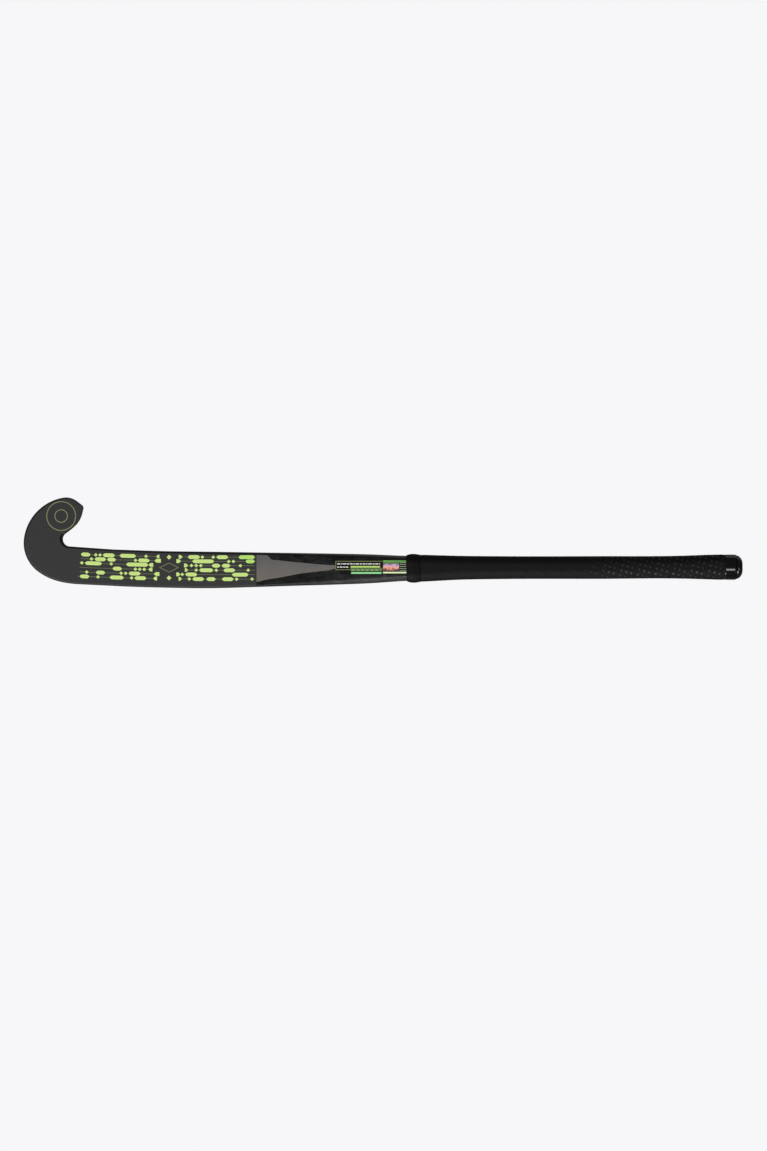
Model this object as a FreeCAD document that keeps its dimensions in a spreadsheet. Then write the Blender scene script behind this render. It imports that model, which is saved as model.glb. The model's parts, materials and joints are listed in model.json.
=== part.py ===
"""A field hockey stick that lies on its back with the flat playing face up.

Every piece is drawn in the stick's own frame: the head's flat face is the plane z = 0, +X runs from
the heel of the hook towards the butt, and +Y is the side that the toe turns to. The shaft rises from
the head's plane in one gentle bow. The pieces then share one placement, which levels the belly of the
back on the ground and puts the origin at the bottom centre of the whole stick.
"""
import FreeCAD, Part
import math
import os
import Sketcher

Vector = FreeCAD.Vector
Placement = FreeCAD.Placement
Rotation = FreeCAD.Rotation

# Driving dimensions in millimetres, and in degrees where the name ends in turn, lean or tilt.
DIMENSIONS = {
    "stick_length": 923.1,      # along the head's plane; levelled on the ground the stick spans 927
    "head_end": 112,            # where the hook's straight neck hands over to the lofted shaft
    "head_thickness": 20.5,
    "face_edge_radius": 2.5,
    "throat_edge_radius": 5,    # the face edge widens to this in the throat
    "back_edge_radius": 7.5,
    "toe_tip_edge_radius": 3,
    "smallest_corner": 0.8,     # inside corners of the skin and tubes are never sharper than this
    "neck_heel_reach": 23.9,
    "neck_lean": 2.8,
    "neck_run": 41.9,
    "toe_flat_run": 8.3,
    "bow_start": 128,
    "bow_end": 500,
    "bow_radius": 2680,
    "rest_tilt": 5.4,           # lowers the handle until the belly under the balance point is level
    "shell_wall": 2,
    "tube_wall": 1.2,
    "rib_offset": -2,           # where the two tubes meet, from the handle's axis
    "core_end": 160,            # the foam core of the head stops here and the two tubes start
    "tube_end": 470,
    "handle_foam_end": 890,
    "grip_start": 494,
    "underlay_start": 500,
    "underlay_thickness": 0.6,
    "tape_thickness": 1.5,
    "end_band_length": 12,
    "end_band_thickness": 0.5,
    "collar_start": 900.5,
    "shell_end": 915,
    "end_growth": 1.8,          # the collar and cap stand this far outside the shell
    "dome_radius": 11.6,        # rounds the cap and the outer end of the collar
    "butt_groove": 0.6,
    "groove_depth": 0.6,
    "film_thickness": 0.15,
}

# The hook's outline, walked from the heel-side edge of the neck round the heel and the toe to the throat:
# each arc's name, its radius and how far it turns, positive where it bends round the stick.
ARCS_BEFORE_TOE_FLAT = (
    ("heel_lead", 127, 11.6),
    ("heel_low", 74.5, 22.8),
    ("heel", 45.8, 61.2),
    ("hook_back", 61.8, 70.6),
    ("toe_top", 23, 48.4),
)
ARCS_AFTER_TOE_FLAT = (
    ("toe_tip", 5, 67),
    ("toe_side", 158, -2),
    ("toe_inner", 32.5, 35),
    ("toe_root", 97.5, 8.4),
    ("throat", 9.3, -141.8),
)

# The shaft's sections: distance from the heel, reach to the toe side and to the heel side, thickness,
# and the radius of the corners beside the face and beside the back.
SHAFT_SECTIONS = (
    (130, 22.5, 24.8, 20.5, 2.6, 8),
    (180, 20.9, 26.3, 20.3, 2.8, 9),
    (240, 20.1, 27, 20.2, 3, 9.5),
    (300, 19.2, 25.5, 20.5, 3.5, 9.5),
    (350, 18.5, 23.9, 21, 5, 9.5),
    (400, 17.7, 22.5, 21.5, 7, 9.5),
    (450, 16.6, 20.5, 22, 9, 9.5),
    (485, 15.1, 18.1, 22.2, 9.5, 9.5),
    (520, 14, 16.3, 22.4, 9.5, 9.5),
    (560, 12.9, 14.2, 22.5, 9.5, 9.5),
    (620, 12.3, 13.2, 22.6, 9.5, 9.5),
    (737, 12.4, 13, 22.8, 9.5, 9.5),
    (846, 13, 12.7, 23.4, 9.8, 9.8),
    (881, 14.2, 13.7, 25.2, 10.5, 10.5),
    (905, 14.6, 14.3, 26, 11, 11),
    (930, 14.6, 14.3, 26, 11, 11),
)
SECTION_SIZES = ("place", "toe_reach", "heel_reach", "thickness", "face_corner", "back_corner")
HANDLE_SECTIONS = range(6, len(SHAFT_SECTIONS))     # the grip's layers start just below the grip
TUBE_SECTIONS = range(0, 9)                         # the tubes' bores run past both of their ends

# Plan outlines of the printed films, as (x, y) corners.
FACE_PRINT_END = 299.5
WEDGE_CORNERS = ((299.7, 15.5), (402.5, -0.4), (299.7, -19.5))
PATTERN_CORNERS = ((71, 17), (299, 13.5), (299, -16.5), (71, -13.5))
SPEC_LABEL_CORNERS = ((402.8, 8), (462.8, 8), (462.8, 2), (421, 2), (421, -3.7), (402.8, -3.7))
STRIPE_CORNERS = ((421.4, 1.8), (463.2, 1.8), (463.2, -5), (484, -5), (484, 7), (463.2, 7), (463.2, 9.2),
                  (493.5, 9.2), (493.5, -8.8), (421.4, -8.8))
STICKER_CORNERS = ((463.4, 6.8), (483.8, 6.8), (483.8, -4.7), (463.4, -4.7))
EMBLEM_CENTRE = (47.9, 66)
EMBLEM_RADIUS = 20

SPAN = 80                       # half the size of the cutting blocks, well outside every section
FLAT_RISE = 0.97                # the least upward part of the normal of a face that counts as flat
UPWARD_RISE = 0.25              # the same for a face that a film can lie on

doc = FreeCAD.newDocument("field_hockey_stick")
sheet = doc.addObject("Spreadsheet::Sheet", "Dimensions")


def fill_sheet():
    """Gives every driving dimension, arc and section a cell with an alias."""
    cells = dict(DIMENSIONS)
    for arc, radius, turn in ARCS_BEFORE_TOE_FLAT + ARCS_AFTER_TOE_FLAT:
        cells[arc + "_radius"] = radius
        cells[arc + "_turn"] = turn
    for number, sizes in enumerate(SHAFT_SECTIONS):
        for size, value in zip(SECTION_SIZES, sizes):
            cells[f"section_{number}_{size}"] = value
    for row, (alias, value) in enumerate(cells.items(), start=1):
        sheet.set(f"A{row}", alias)
        sheet.set(f"B{row}", str(value))
        sheet.setAlias(f"B{row}", alias)
    doc.recompute()


def size(alias):
    return float(sheet.get(alias))


def cell(alias):
    return f"{sheet.Name}.{alias}"


def bow_height(x):
    """Height of the playing face above the head's plane: flat, then a circular bow, then straight."""
    start, end, radius = size("bow_start"), size("bow_end"), size("bow_radius")
    bent = min(max(x - start, 0), end - start)
    straight = max(x - end, 0)
    return bent ** 2 / (2 * radius) + straight * (end - start) / radius


def bow_expression(place):
    """The same height as bow_height, as an expression in the sheet's cells."""
    start, end, radius = cell("bow_start"), cell("bow_end"), cell("bow_radius")
    bent = f"min(max({place} - {start}; 0); {end} - {start})"
    return f"{bent}^2 / (2 * {radius}) + max({place} - {end}; 0) * ({end} - {start}) / {radius}"


def name_constraint(sketch, constraint, name, expression):
    """Adds a constraint with a name and binds its value to the sheet."""
    index = sketch.addConstraint(constraint)
    sketch.renameConstraint(index, name)
    sketch.setExpression(f"Constraints.{name}", expression)


def hook_geometry(inset):
    """The hook's outline, inset into the stick: each curve with its name and its first and last ends."""
    geometry = []
    heading = math.radians(180 - size("neck_lean"))
    neck = Vector(size("head_end"), -size("neck_heel_reach"), 0)

    def inward(angle):
        return Vector(math.sin(angle), -math.cos(angle), 0)

    def along(angle):
        return Vector(math.cos(angle), math.sin(angle), 0)

    point = neck + inward(heading) * inset
    point += along(heading) * ((neck.x - point.x) / math.cos(heading))

    def line(name, run):
        nonlocal point
        end = point + along(heading) * run
        geometry.append((Part.LineSegment(point, end), name, 1, 2))
        point = end

    def arc(name):
        nonlocal point, heading
        turn = math.radians(size(name + "_turn"))
        side = math.copysign(1, turn)
        radius = size(name + "_radius") - side * inset
        centre = point + inward(heading) * (side * radius)
        circle = Part.Circle(centre, Vector(0, 0, 1), radius)
        spoke = heading + side * math.pi / 2
        heading -= turn
        point = centre - inward(heading) * (side * radius)
        if side > 0:
            geometry.append((Part.ArcOfCircle(circle, spoke - turn, spoke), name, 2, 1))
        else:
            geometry.append((Part.ArcOfCircle(circle, spoke, spoke - turn), name, 1, 2))

    line("neck", size("neck_run") + inset * math.tan(math.radians(size("neck_lean"))))
    for name, _, _ in ARCS_BEFORE_TOE_FLAT:
        arc(name)
    line("toe_flat", size("toe_flat_run"))
    for name, _, _ in ARCS_AFTER_TOE_FLAT:
        arc(name)
    line("root", (size("head_end") - point.x) / math.cos(heading))
    geometry.append((Part.LineSegment(point, geometry[0][0].StartPoint), "cut", 1, 2))
    return geometry


def hook_body(name, inset, inset_expression):
    """The head as a flat pad of the hook's outline, with sharp edges, below the plane z = -inset."""
    body = doc.addObject("PartDesign::Body", name)
    sketch = body.newObject("Sketcher::SketchObject", name + "_outline")
    plane = [feature for feature in body.Origin.OriginFeatures if feature.Role == "XY_Plane"][0]
    sketch.AttachmentSupport = [(plane, "")]
    sketch.MapMode = "FlatFace"
    sketch.AttachmentOffset = Placement(Vector(0, 0, -inset), Rotation())
    sketch.setExpression("AttachmentOffset.Base.z", f"-({inset_expression})")
    curves = hook_geometry(inset)
    sketch.addGeometry([curve for curve, _, _, _ in curves], False)
    for number in range(len(curves) - 1):
        last, first = curves[number][3], curves[number + 1][2]
        if curves[number + 1][1] == "cut":
            sketch.addConstraint(Sketcher.Constraint("Coincident", number, last, number + 1, first))
        else:
            sketch.addConstraint(Sketcher.Constraint("Tangent", number, last, number + 1, first))
    sketch.addConstraint(Sketcher.Constraint("Coincident", len(curves) - 1, 2, 0, 1))
    sketch.addConstraint(Sketcher.Constraint("Vertical", len(curves) - 1))
    start = curves[0][0].StartPoint
    name_constraint(sketch, Sketcher.Constraint("DistanceX", -1, 1, 0, 1, start.x), "head_end",
                    cell("head_end"))
    name_constraint(sketch, Sketcher.Constraint("DistanceY", 0, 1, -1, 1, -start.y), "neck_reach",
                    f"{cell('neck_heel_reach')} - ({inset_expression}) / cos({cell('neck_lean')} * 1 deg)")
    for number, (curve, label, _, _) in enumerate(curves):
        if isinstance(curve, Part.ArcOfCircle):
            side = "-" if size(label + "_turn") > 0 else "+"
            name_constraint(sketch, Sketcher.Constraint("Radius", number, curve.Radius), label + "_size",
                            f"{cell(label + '_radius')} {side} ({inset_expression})")
            if label != "throat":
                turn = curve.LastParameter - curve.FirstParameter
                name_constraint(sketch, Sketcher.Constraint("Angle", number, turn), label + "_bend",
                                f"abs({cell(label + '_turn')}) * 1 deg")
    pad = body.newObject("PartDesign::Pad", name + "_pad")
    pad.Profile = sketch
    pad.Reversed = True
    pad.Length = size("head_thickness") - 2 * inset
    pad.setExpression("Length", f"{cell('head_thickness')} - 2 * ({inset_expression})")
    doc.recompute()
    return body


def at_height(edge, height):
    box = edge.BoundBox
    return abs(box.ZMin - height) < 1e-3 and abs(box.ZMax - height) < 1e-3


def on_cut_plane(shape):
    box = shape.BoundBox
    return abs(box.XMin - size("head_end")) < 1e-3 and abs(box.XMax - size("head_end")) < 1e-3


def arc_ends(shape, radius, height):
    """The end points of the arcs of one radius at one height."""
    return [vertex.Point for edge in shape.Edges if at_height(edge, height)
            and abs(getattr(edge.Curve, "Radius", 0) - radius) < 1e-3 for vertex in edge.Vertexes]


def end_radii(edge, special_ends, special, usual):
    """The rounding radius at an edge's two ends, which tapers from a special arc to the usual radius."""
    ends = (edge.valueAt(edge.FirstParameter), edge.valueAt(edge.LastParameter))
    return [special if any(end.distanceToPoint(point) < 1e-3 for point in special_ends) else usual
            for end in ends]


def rounded_hook(name, inset, inset_expression):
    """The head with its edges rounded: small beside the face, large beside the back."""
    body = hook_body(name + "_hook", inset, inset_expression)
    rounded = doc.addObject("Part::Fillet", name + "_rounded_hook")
    rounded.Base = body
    face_height, back_height = -inset, inset - size("head_thickness")
    throat_ends = arc_ends(body.Shape, size("throat_radius") + inset, face_height)
    tip_ends = arc_ends(body.Shape, size("toe_tip_radius") - inset, back_height)
    edges = []
    for number, edge in enumerate(body.Shape.Edges, start=1):
        if on_cut_plane(edge):
            continue
        if at_height(edge, face_height):
            radii = end_radii(edge, throat_ends, size("throat_edge_radius") - inset,
                              size("face_edge_radius") - inset)
            edges.append((number, *radii))
        elif at_height(edge, back_height):
            radii = end_radii(edge, tip_ends, size("toe_tip_edge_radius") - inset,
                              size("back_edge_radius") - inset)
            edges.append((number, *radii))
    rounded.Edges = edges
    doc.recompute()
    return rounded


def shaft_section(name, number, grow, grow_expression):
    """One section across the shaft: a rectangle with round corners, grown outwards all round."""
    place, toe, heel, thickness, face, back = (size(f"section_{number}_{part}") for part in SECTION_SIZES)

    def sized(part, factor=1):
        return f"{cell(f'section_{number}_{part}')} + {factor} * ({grow_expression})"

    def corner(part):
        return f"max({sized(part)}; {cell('smallest_corner')})"

    toe, heel = toe + grow, heel + grow
    face, back = (max(radius + grow, size("smallest_corner")) for radius in (face, back))
    top, bottom = grow, -thickness - grow
    sketch = doc.addObject("Sketcher::SketchObject", f"{name}_section_{number}")
    sketch.Placement = Placement(Vector(place, 0, bow_height(place)), Rotation(Vector(1, 1, 1), 120))
    sketch.setExpression("Placement.Base.x", cell(f"section_{number}_place"))
    sketch.setExpression("Placement.Base.z", bow_expression(cell(f"section_{number}_place")))
    corners = (
        (toe - face, top - face, face, 0),
        (toe - back, bottom + back, back, 3),
        (-heel + back, bottom + back, back, 2),
        (-heel + face, top - face, face, 1),
    )
    arcs = []
    for x, y, radius, quarter in corners:
        circle = Part.Circle(Vector(x, y, 0), Vector(0, 0, 1), radius)
        arcs.append(Part.ArcOfCircle(circle, quarter * math.pi / 2, (quarter + 1) * math.pi / 2))
    lines = [Part.LineSegment(arcs[i].StartPoint, arcs[(i + 1) % 4].EndPoint) for i in range(4)]
    sketch.addGeometry(arcs + lines, False)
    for i in range(4):
        sketch.addConstraint(Sketcher.Constraint("Tangent", i, 1, 4 + i, 1))
        sketch.addConstraint(Sketcher.Constraint("Tangent", 4 + i, 2, (i + 1) % 4, 2))
    for line, direction in ((4, "Vertical"), (5, "Horizontal"), (6, "Vertical"), (7, "Horizontal")):
        sketch.addConstraint(Sketcher.Constraint(direction, line))
    sketch.addConstraint(Sketcher.Constraint("Equal", 0, 3))
    sketch.addConstraint(Sketcher.Constraint("Equal", 1, 2))
    bound = (
        (Sketcher.Constraint("DistanceX", -1, 1, 4, 1, toe), "toe_reach", sized("toe_reach")),
        (Sketcher.Constraint("DistanceX", 6, 1, -1, 1, heel), "heel_reach", sized("heel_reach")),
        (Sketcher.Constraint("DistanceY", 5, 1, 7, 1, top - bottom), "depth", sized("thickness", 2)),
        (Sketcher.Constraint("Radius", 0, face), "face_corner", corner("face_corner")),
        (Sketcher.Constraint("Radius", 1, back), "back_corner", corner("back_corner")),
        (Sketcher.Constraint("DistanceY", 5, 1, -1, 1, -bottom), "below_axis", sized("thickness")),
    )
    for constraint, label, expression in bound:
        name_constraint(sketch, constraint, label, expression)
    return sketch


def loft(name, sections):
    skin = doc.addObject("Part::Loft", name)
    skin.Sections = sections
    skin.Solid = True
    doc.recompute()
    return skin


def stick_form(name, inset, inset_expression):
    """Head and shaft together as one solid, inset all round by a wall's thickness."""
    hook = rounded_hook(name, inset, inset_expression)
    end = doc.addObject("Part::Feature", name + "_neck_section")
    end.Shape = [face for face in hook.Shape.Faces if on_cut_plane(face)][0].OuterWire
    grow = f"-({inset_expression})"
    sections = [shaft_section(name, number, -inset, grow) for number in range(len(SHAFT_SECTIONS))]
    doc.recompute()
    form = doc.addObject("Part::MultiFuse", name)
    form.Shapes = [hook, loft(name + "_shaft", [end] + sections)]
    doc.recompute()
    return form


def shaft_form(name, grow, grow_expression, numbers=HANDLE_SECTIONS):
    """The shaft alone, grown by the layers that are wound on it or shrunk by the walls outside it."""
    sections = [shaft_section(name, number, grow, grow_expression) for number in numbers]
    doc.recompute()
    return loft(name, sections)


def block(name, x_start, x_end, y_start=-SPAN, y_end=SPAN):
    """A cutting block between two planes across X."""
    box = doc.addObject("Part::Box", name)
    box.Placement = Placement(Vector(x_start, y_start, -SPAN), Rotation())
    box.Length, box.Width, box.Height = x_end - x_start, y_end - y_start, 3 * SPAN
    return box


def handle_block(name, start_alias, length_expression):
    """A cutting block whose end planes are square to the handle, which leans up by the bow's full angle."""
    box = doc.addObject("Part::Box", name)
    lean = math.degrees(math.atan((size("bow_end") - size("bow_start")) / size("bow_radius")))
    place = size(start_alias)
    turn = Rotation(Vector(0, 1, 0), -lean)
    axis_point = Vector(place, 0, bow_height(place) - size("head_thickness") / 2)
    box.Placement = Placement(axis_point + turn.multVec(Vector(0, -SPAN / 2, -SPAN / 2)), turn)
    box.Width = box.Height = SPAN
    box.setExpression("Length", length_expression)
    return box


def boolean(kind, name, base, tool):
    result = doc.addObject(kind, name)
    result.Base, result.Tool = base, tool
    return result


def common(name, base, tool):
    return boolean("Part::Common", name, base, tool)


def cut(name, base, tool):
    return boolean("Part::Cut", name, base, tool)


def fuse(name, *shapes):
    result = doc.addObject("Part::MultiFuse", name)
    result.Shapes = list(shapes)
    return result


def outer_shell():
    """The moulded skin: closed round the hook and open at the butt."""
    hollow = cut("hollow_form", outer_form, inner_form)
    beyond = handle_block("beyond_shell", "shell_end", str(SPAN))
    return cut("outer_shell", hollow, beyond)


def head_core():
    return common("head_core", inner_form, block("head_end_block", -SPAN, size("core_end")))


def inner_tube(name, toe_side):
    """One of the two inflated tubes that line the shaft and meet in a rib down its middle."""
    start, end, rib, wall = size("core_end"), size("tube_end"), size("rib_offset"), size("tube_wall")
    reach = (rib, SPAN) if toe_side else (-SPAN, rib)
    bore_reach = (rib + wall, SPAN) if toe_side else (-SPAN, rib - wall)
    solid = common(name + "_solid", inner_form, block(name + "_block", start, end, *reach))
    bore_block = block(name + "_bore_block", start - 1, end + 1, *bore_reach)
    return cut(name, solid, common(name + "_bore", bore_form, bore_block))


def handle_foam():
    handle_end = block("handle_end_block", size("tube_end"), size("stick_length"))
    filled = common("handle_filling", inner_form, handle_end)
    stem_room = handle_block("stem_room", "handle_foam_end", str(SPAN))
    return cut("handle_foam", filled, stem_room)


def grip_layers():
    """The cushion underlay, the tape wound over it and the band that ties the tape's lower end."""
    underlay_form = shaft_form("underlay_form", size("underlay_thickness"), cell("underlay_thickness"))
    wound = f"{cell('underlay_thickness')} + {cell('tape_thickness')}"
    tape_grow = size("underlay_thickness") + size("tape_thickness")
    tape_form = shaft_form("tape_form", tape_grow, wound)
    banded = f"{wound} + {cell('end_band_thickness')}"
    band_form = shaft_form("band_form", tape_grow + size("end_band_thickness"), banded)

    underlay_block = handle_block("underlay_block", "underlay_start",
                                  f"{cell('collar_start')} - {cell('underlay_start')}")
    tape_block = handle_block("tape_block", "grip_start", f"{cell('collar_start')} - {cell('grip_start')}")
    band_block = handle_block("band_block", "grip_start", cell("end_band_length"))
    underlay_length = common("underlay_length", underlay_form, underlay_block)
    underlay = cut("grip_underlay", underlay_length, outer_form)
    wrap = cut("tape_over_shell", common("tape_length", tape_form, tape_block), outer_form)
    tape = cut("grip_tape", wrap, underlay_length)
    band = cut("grip_end_band", common("band_length", band_form, band_block), tape_form)
    return underlay, tape, band


def domed_end():
    """The outside of the collar and cap together, rounded over at the butt."""
    form = shaft_form("end_form", size("end_growth"), cell("end_growth"))
    length = f"{cell('stick_length')} - {cell('collar_start')}"
    whole = handle_block("end_block", "collar_start", length)
    sharp = common("sharp_end", form, whole)
    doc.recompute()
    axis = whole.Placement.Rotation.multVec(Vector(1, 0, 0))
    end_face = max(sharp.Shape.Faces, key=lambda face: face.CenterOfMass.dot(axis))
    domed = doc.addObject("Part::Fillet", "domed_end")
    domed.Base = sharp
    radius = size("dome_radius")
    domed.Edges = [(number, radius, radius) for number, edge in enumerate(sharp.Shape.Edges, start=1)
                   if any(edge.isSame(rim) for rim in end_face.Edges)]
    return domed


def grip_collar(domed):
    """The glossy collar over the last turn of the grip, flush with the shell's end."""
    collar_length = f"{cell('shell_end')} - {cell('collar_start')}"
    collar_block = handle_block("collar_block", "collar_start", collar_length)
    return cut("grip_collar", common("collar_length_form", domed, collar_block), outer_form)


def butt_cap(domed):
    """The end cap: a stem in the hollow handle, a groove at the shell's end and a domed head."""
    stem_length = f"{cell('shell_end')} - {cell('handle_foam_end')} + {cell('butt_groove')}"
    stem = common("cap_stem", inner_form, handle_block("stem_block", "handle_foam_end", stem_length))
    growth = f"{cell('end_growth')} - 2 * {cell('groove_depth')}"
    neck_form = shaft_form("neck_form", size("end_growth") - 2 * size("groove_depth"), growth)
    groove = handle_block("groove_block", "shell_end", cell("butt_groove"))
    neck = common("cap_neck", neck_form, groove)
    beyond = handle_block("cap_block", "shell_end", str(SPAN))
    head = common("cap_head", domed, cut("beyond_groove", beyond, groove))
    return fuse("butt_cap", stem, neck, head)


def face_rise(face):
    """The upward part of the normal at a face's middle."""
    low_u, high_u, low_v, high_v = face.ParameterRange
    return face.normalAt((low_u + high_u) / 2, (low_v + high_v) / 2).z


def outline_prism(corners):
    points = [Vector(x, y, -SPAN) for x, y in corners]
    return Part.Face(Part.makePolygon(points + points[:1])).extrude(Vector(0, 0, 3 * SPAN))


def film(name, prism, least_rise=UPWARD_RISE, openings=()):
    """A printed film: the part of the upward faces inside a plan outline, thickened straight up."""
    sheets = []
    for face in outer_form.Shape.Faces:
        if face_rise(face) > least_rise:
            region = face.common(prism)
            for opening in openings:
                region = region.cut(opening)
            sheets += [piece.extrude(Vector(0, 0, size("film_thickness"))) for piece in region.Faces]
    result = doc.addObject("Part::Feature", name)
    result.Shape = sheets[0].multiFuse(sheets[1:]) if len(sheets) > 1 else sheets[0]
    return result


def face_films():
    """The matte film over the flat of the head and lower shaft, with the pattern and emblem let into it."""
    printed = outline_prism(((-SPAN, -SPAN), (FACE_PRINT_END, -SPAN), (FACE_PRINT_END, 2 * SPAN),
                             (-SPAN, 2 * SPAN)))
    pattern = outline_prism(PATTERN_CORNERS)
    emblem = Part.makeCylinder(EMBLEM_RADIUS, 3 * SPAN, Vector(*EMBLEM_CENTRE, -SPAN))
    return (film("face_print", printed, FLAT_RISE, (pattern, emblem)), film("pattern_decal", pattern),
            film("toe_emblem", emblem))


def stop_on_failure():
    """Stops if any object failed to build, or any finished piece isn't a sound solid."""
    for thing in doc.Objects:
        if "Invalid" in thing.State or "Error" in thing.State:
            raise RuntimeError(f"{thing.Name} failed to build: {thing.State}")
    for piece in pieces:
        if piece.Shape.isNull() or not piece.Shape.isValid() or not piece.Shape.Solids:
            raise RuntimeError(f"{piece.Label} has no valid solid")


def place_on_ground():
    """Gives every piece the placement that levels the belly and centres the stick over the origin."""
    level = Rotation(Vector(0, 1, 0), size("rest_tilt"))
    box = FreeCAD.BoundBox()
    for piece in pieces:
        piece.Placement = Placement(Vector(), level)
        box.add(piece.Shape.optimalBoundingBox(False))
    bottom_centre = Vector(box.Center.x, box.Center.y, box.ZMin)
    for piece in pieces:
        piece.Placement = Placement(-bottom_centre, level)
    print("size", [round(length, 2) for length in (box.XLength, box.YLength, box.ZLength)])
    origin = level.inverted().multVec(bottom_centre)
    print("origin in the stick's frame", [round(value, 2) for value in origin])


fill_sheet()
outer_form = stick_form("outer_form", 0, "0")
inner_form = stick_form("inner_form", size("shell_wall"), cell("shell_wall"))
bore_form = shaft_form("bore_form", -size("shell_wall") - size("tube_wall"),
                       f"-({cell('shell_wall')} + {cell('tube_wall')})", TUBE_SECTIONS)
end_outside = domed_end()
pieces = [
    outer_shell(),
    head_core(),
    inner_tube("toe_side_tube", toe_side=True),
    inner_tube("heel_side_tube", toe_side=False),
    handle_foam(),
    *grip_layers(),
    grip_collar(end_outside),
    butt_cap(end_outside),
    *face_films(),
    film("wedge_decal", outline_prism(WEDGE_CORNERS)),
    film("spec_label", outline_prism(SPEC_LABEL_CORNERS)),
    film("stripe_decal", outline_prism(STRIPE_CORNERS)),
    film("security_sticker", outline_prism(STICKER_CORNERS)),
]
doc.recompute()
stop_on_failure()
place_on_ground()

os.makedirs("parts", exist_ok=True)
for piece in pieces:
    piece.Shape.exportStep(os.path.join("parts", piece.Label + ".step"))
print(len(pieces), "pieces written")
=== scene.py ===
"""The looks of a field hockey stick: its carbon skin, printed face, wound grip, lights and camera.

Shapes are drawn in the stick's own frame in millimetres: the head's flat face is the plane z = 0, +X runs
from the heel of the hook towards the butt and +Y is the side that the toe turns to. to_frame() takes them to
the frame's metres.
"""
import json
import math

import bmesh
import bpy
import numpy as np
from mathutils import Matrix, Vector


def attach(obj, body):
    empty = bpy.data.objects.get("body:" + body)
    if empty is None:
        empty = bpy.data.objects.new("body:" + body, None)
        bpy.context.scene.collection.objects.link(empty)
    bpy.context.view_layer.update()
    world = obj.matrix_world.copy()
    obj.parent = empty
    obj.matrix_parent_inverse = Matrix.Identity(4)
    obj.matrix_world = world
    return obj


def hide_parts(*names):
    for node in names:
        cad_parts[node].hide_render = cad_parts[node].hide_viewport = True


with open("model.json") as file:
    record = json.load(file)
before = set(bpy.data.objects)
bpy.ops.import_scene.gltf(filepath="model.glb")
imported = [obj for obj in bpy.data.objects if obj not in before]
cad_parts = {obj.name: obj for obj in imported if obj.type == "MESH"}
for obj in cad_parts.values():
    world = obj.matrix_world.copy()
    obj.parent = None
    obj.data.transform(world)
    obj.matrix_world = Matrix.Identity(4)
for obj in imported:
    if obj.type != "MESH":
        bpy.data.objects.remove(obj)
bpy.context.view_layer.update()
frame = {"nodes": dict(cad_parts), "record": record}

# ---------------------------------------------------------------- the stick's own frame

FACE_POINT = (30, 30, 0.15)         # where the mount on the playing face lies in the stick's own frame
face_mount = [mount for mount in frame["record"]["mounts"] if mount["name"] == "playing_face"][0]
UP = Vector(face_mount["axis"])
ALONG = Vector((UP.z, 0, -UP.x))
TURN = np.array(Matrix((ALONG, (0, 1, 0), UP)))
START = np.array(face_mount["pos_m"]) - np.array(FACE_POINT) @ TURN * 0.001


def to_frame(points):
    """Points of the stick's own frame, in the frame's metres."""
    return START + np.asarray(points, float) @ TURN * 0.001


# ---------------------------------------------------------------- the stick's form

SHELL_END = 915
HEAD_THICKNESS = 20.5
BOW_START, BOW_END, BOW_RADIUS = 128, 500, 2680
LEAN = (BOW_END - BOW_START) / BOW_RADIUS       # slope of the straight handle

# Sections of the shaft: place, toe and heel reach, thickness, corner radius beside the face and the back.
SHAFT = np.array((
    (112, 23.2, 23.9, 20.5, 2.5, 7.5),
    (130, 22.5, 24.8, 20.5, 2.6, 8),
    (180, 20.9, 26.3, 20.3, 2.8, 9),
    (240, 20.1, 27, 20.2, 3, 9.5),
    (300, 19.2, 25.5, 20.5, 3.5, 9.5),
    (350, 18.5, 23.9, 21, 5, 9.5),
    (400, 17.7, 22.5, 21.5, 7, 9.5),
    (450, 16.6, 20.5, 22, 9, 9.5),
    (485, 15.1, 18.1, 22.2, 9.5, 9.5),
    (520, 14, 16.3, 22.4, 9.5, 9.5),
    (560, 12.9, 14.2, 22.5, 9.5, 9.5),
    (620, 12.3, 13.2, 22.6, 9.5, 9.5),
    (737, 12.4, 13, 22.8, 9.5, 9.5),
    (846, 13, 12.7, 23.4, 9.8, 9.8),
    (881, 14.2, 13.7, 25.2, 10.5, 10.5),
    (905, 14.6, 14.3, 26, 11, 11),
    (930, 14.6, 14.3, 26, 11, 11),
))
NECK_SLOPES = (-0.07, 0.049)        # how the toe and heel reach change where the hook ends
PLACES, SIZES = SHAFT[:, 0], SHAFT[:, 1:]
SLOPES = np.gradient(SIZES, PLACES, axis=0)
SLOPES[0, :2] = NECK_SLOPES

# The hook's outline from the neck's heel side round to the throat: a straight run's length or an arc's
# radius, the arc's turn, and the face and back edge radii that it ends with. The last run ends the hook.
HOOK_START, HOOK_HEADING = (112, -23.9), 177.2
HOOK = (
    (41.9, 0, 2.5, 7.5),
    (127, 11.6, 2.5, 7.5),
    (74.5, 22.8, 2.5, 7.5),
    (45.8, 61.2, 2.5, 7.5),
    (61.8, 70.6, 2.5, 7.5),
    (23, 48.4, 2.5, 7.5),
    (8.3, 0, 2.5, 3),
    (5, 67, 2.5, 3),
    (158, -2, 2.5, 7.5),
    (32.5, 35, 2.5, 7.5),
    (97.5, 8.4, 3.4, 7.5),
    (9.3, -50, 5, 7.5),
    (9.3, -91.8, 2.7, 7.5),
    (None, 0, 2.5, 7.5),
)
SUPPORT = 0.6                       # how far the loops that hold the edges' shading lie from them
EDGE_POINTS = 11                    # round each edge of the skin
HOOK_STEP, HOOK_TURN_STEP = 2.5, 5  # the most millimetres and degrees between rows round the hook
SHAFT_STEP = 4                      # the most millimetres between rows along the shaft


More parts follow.
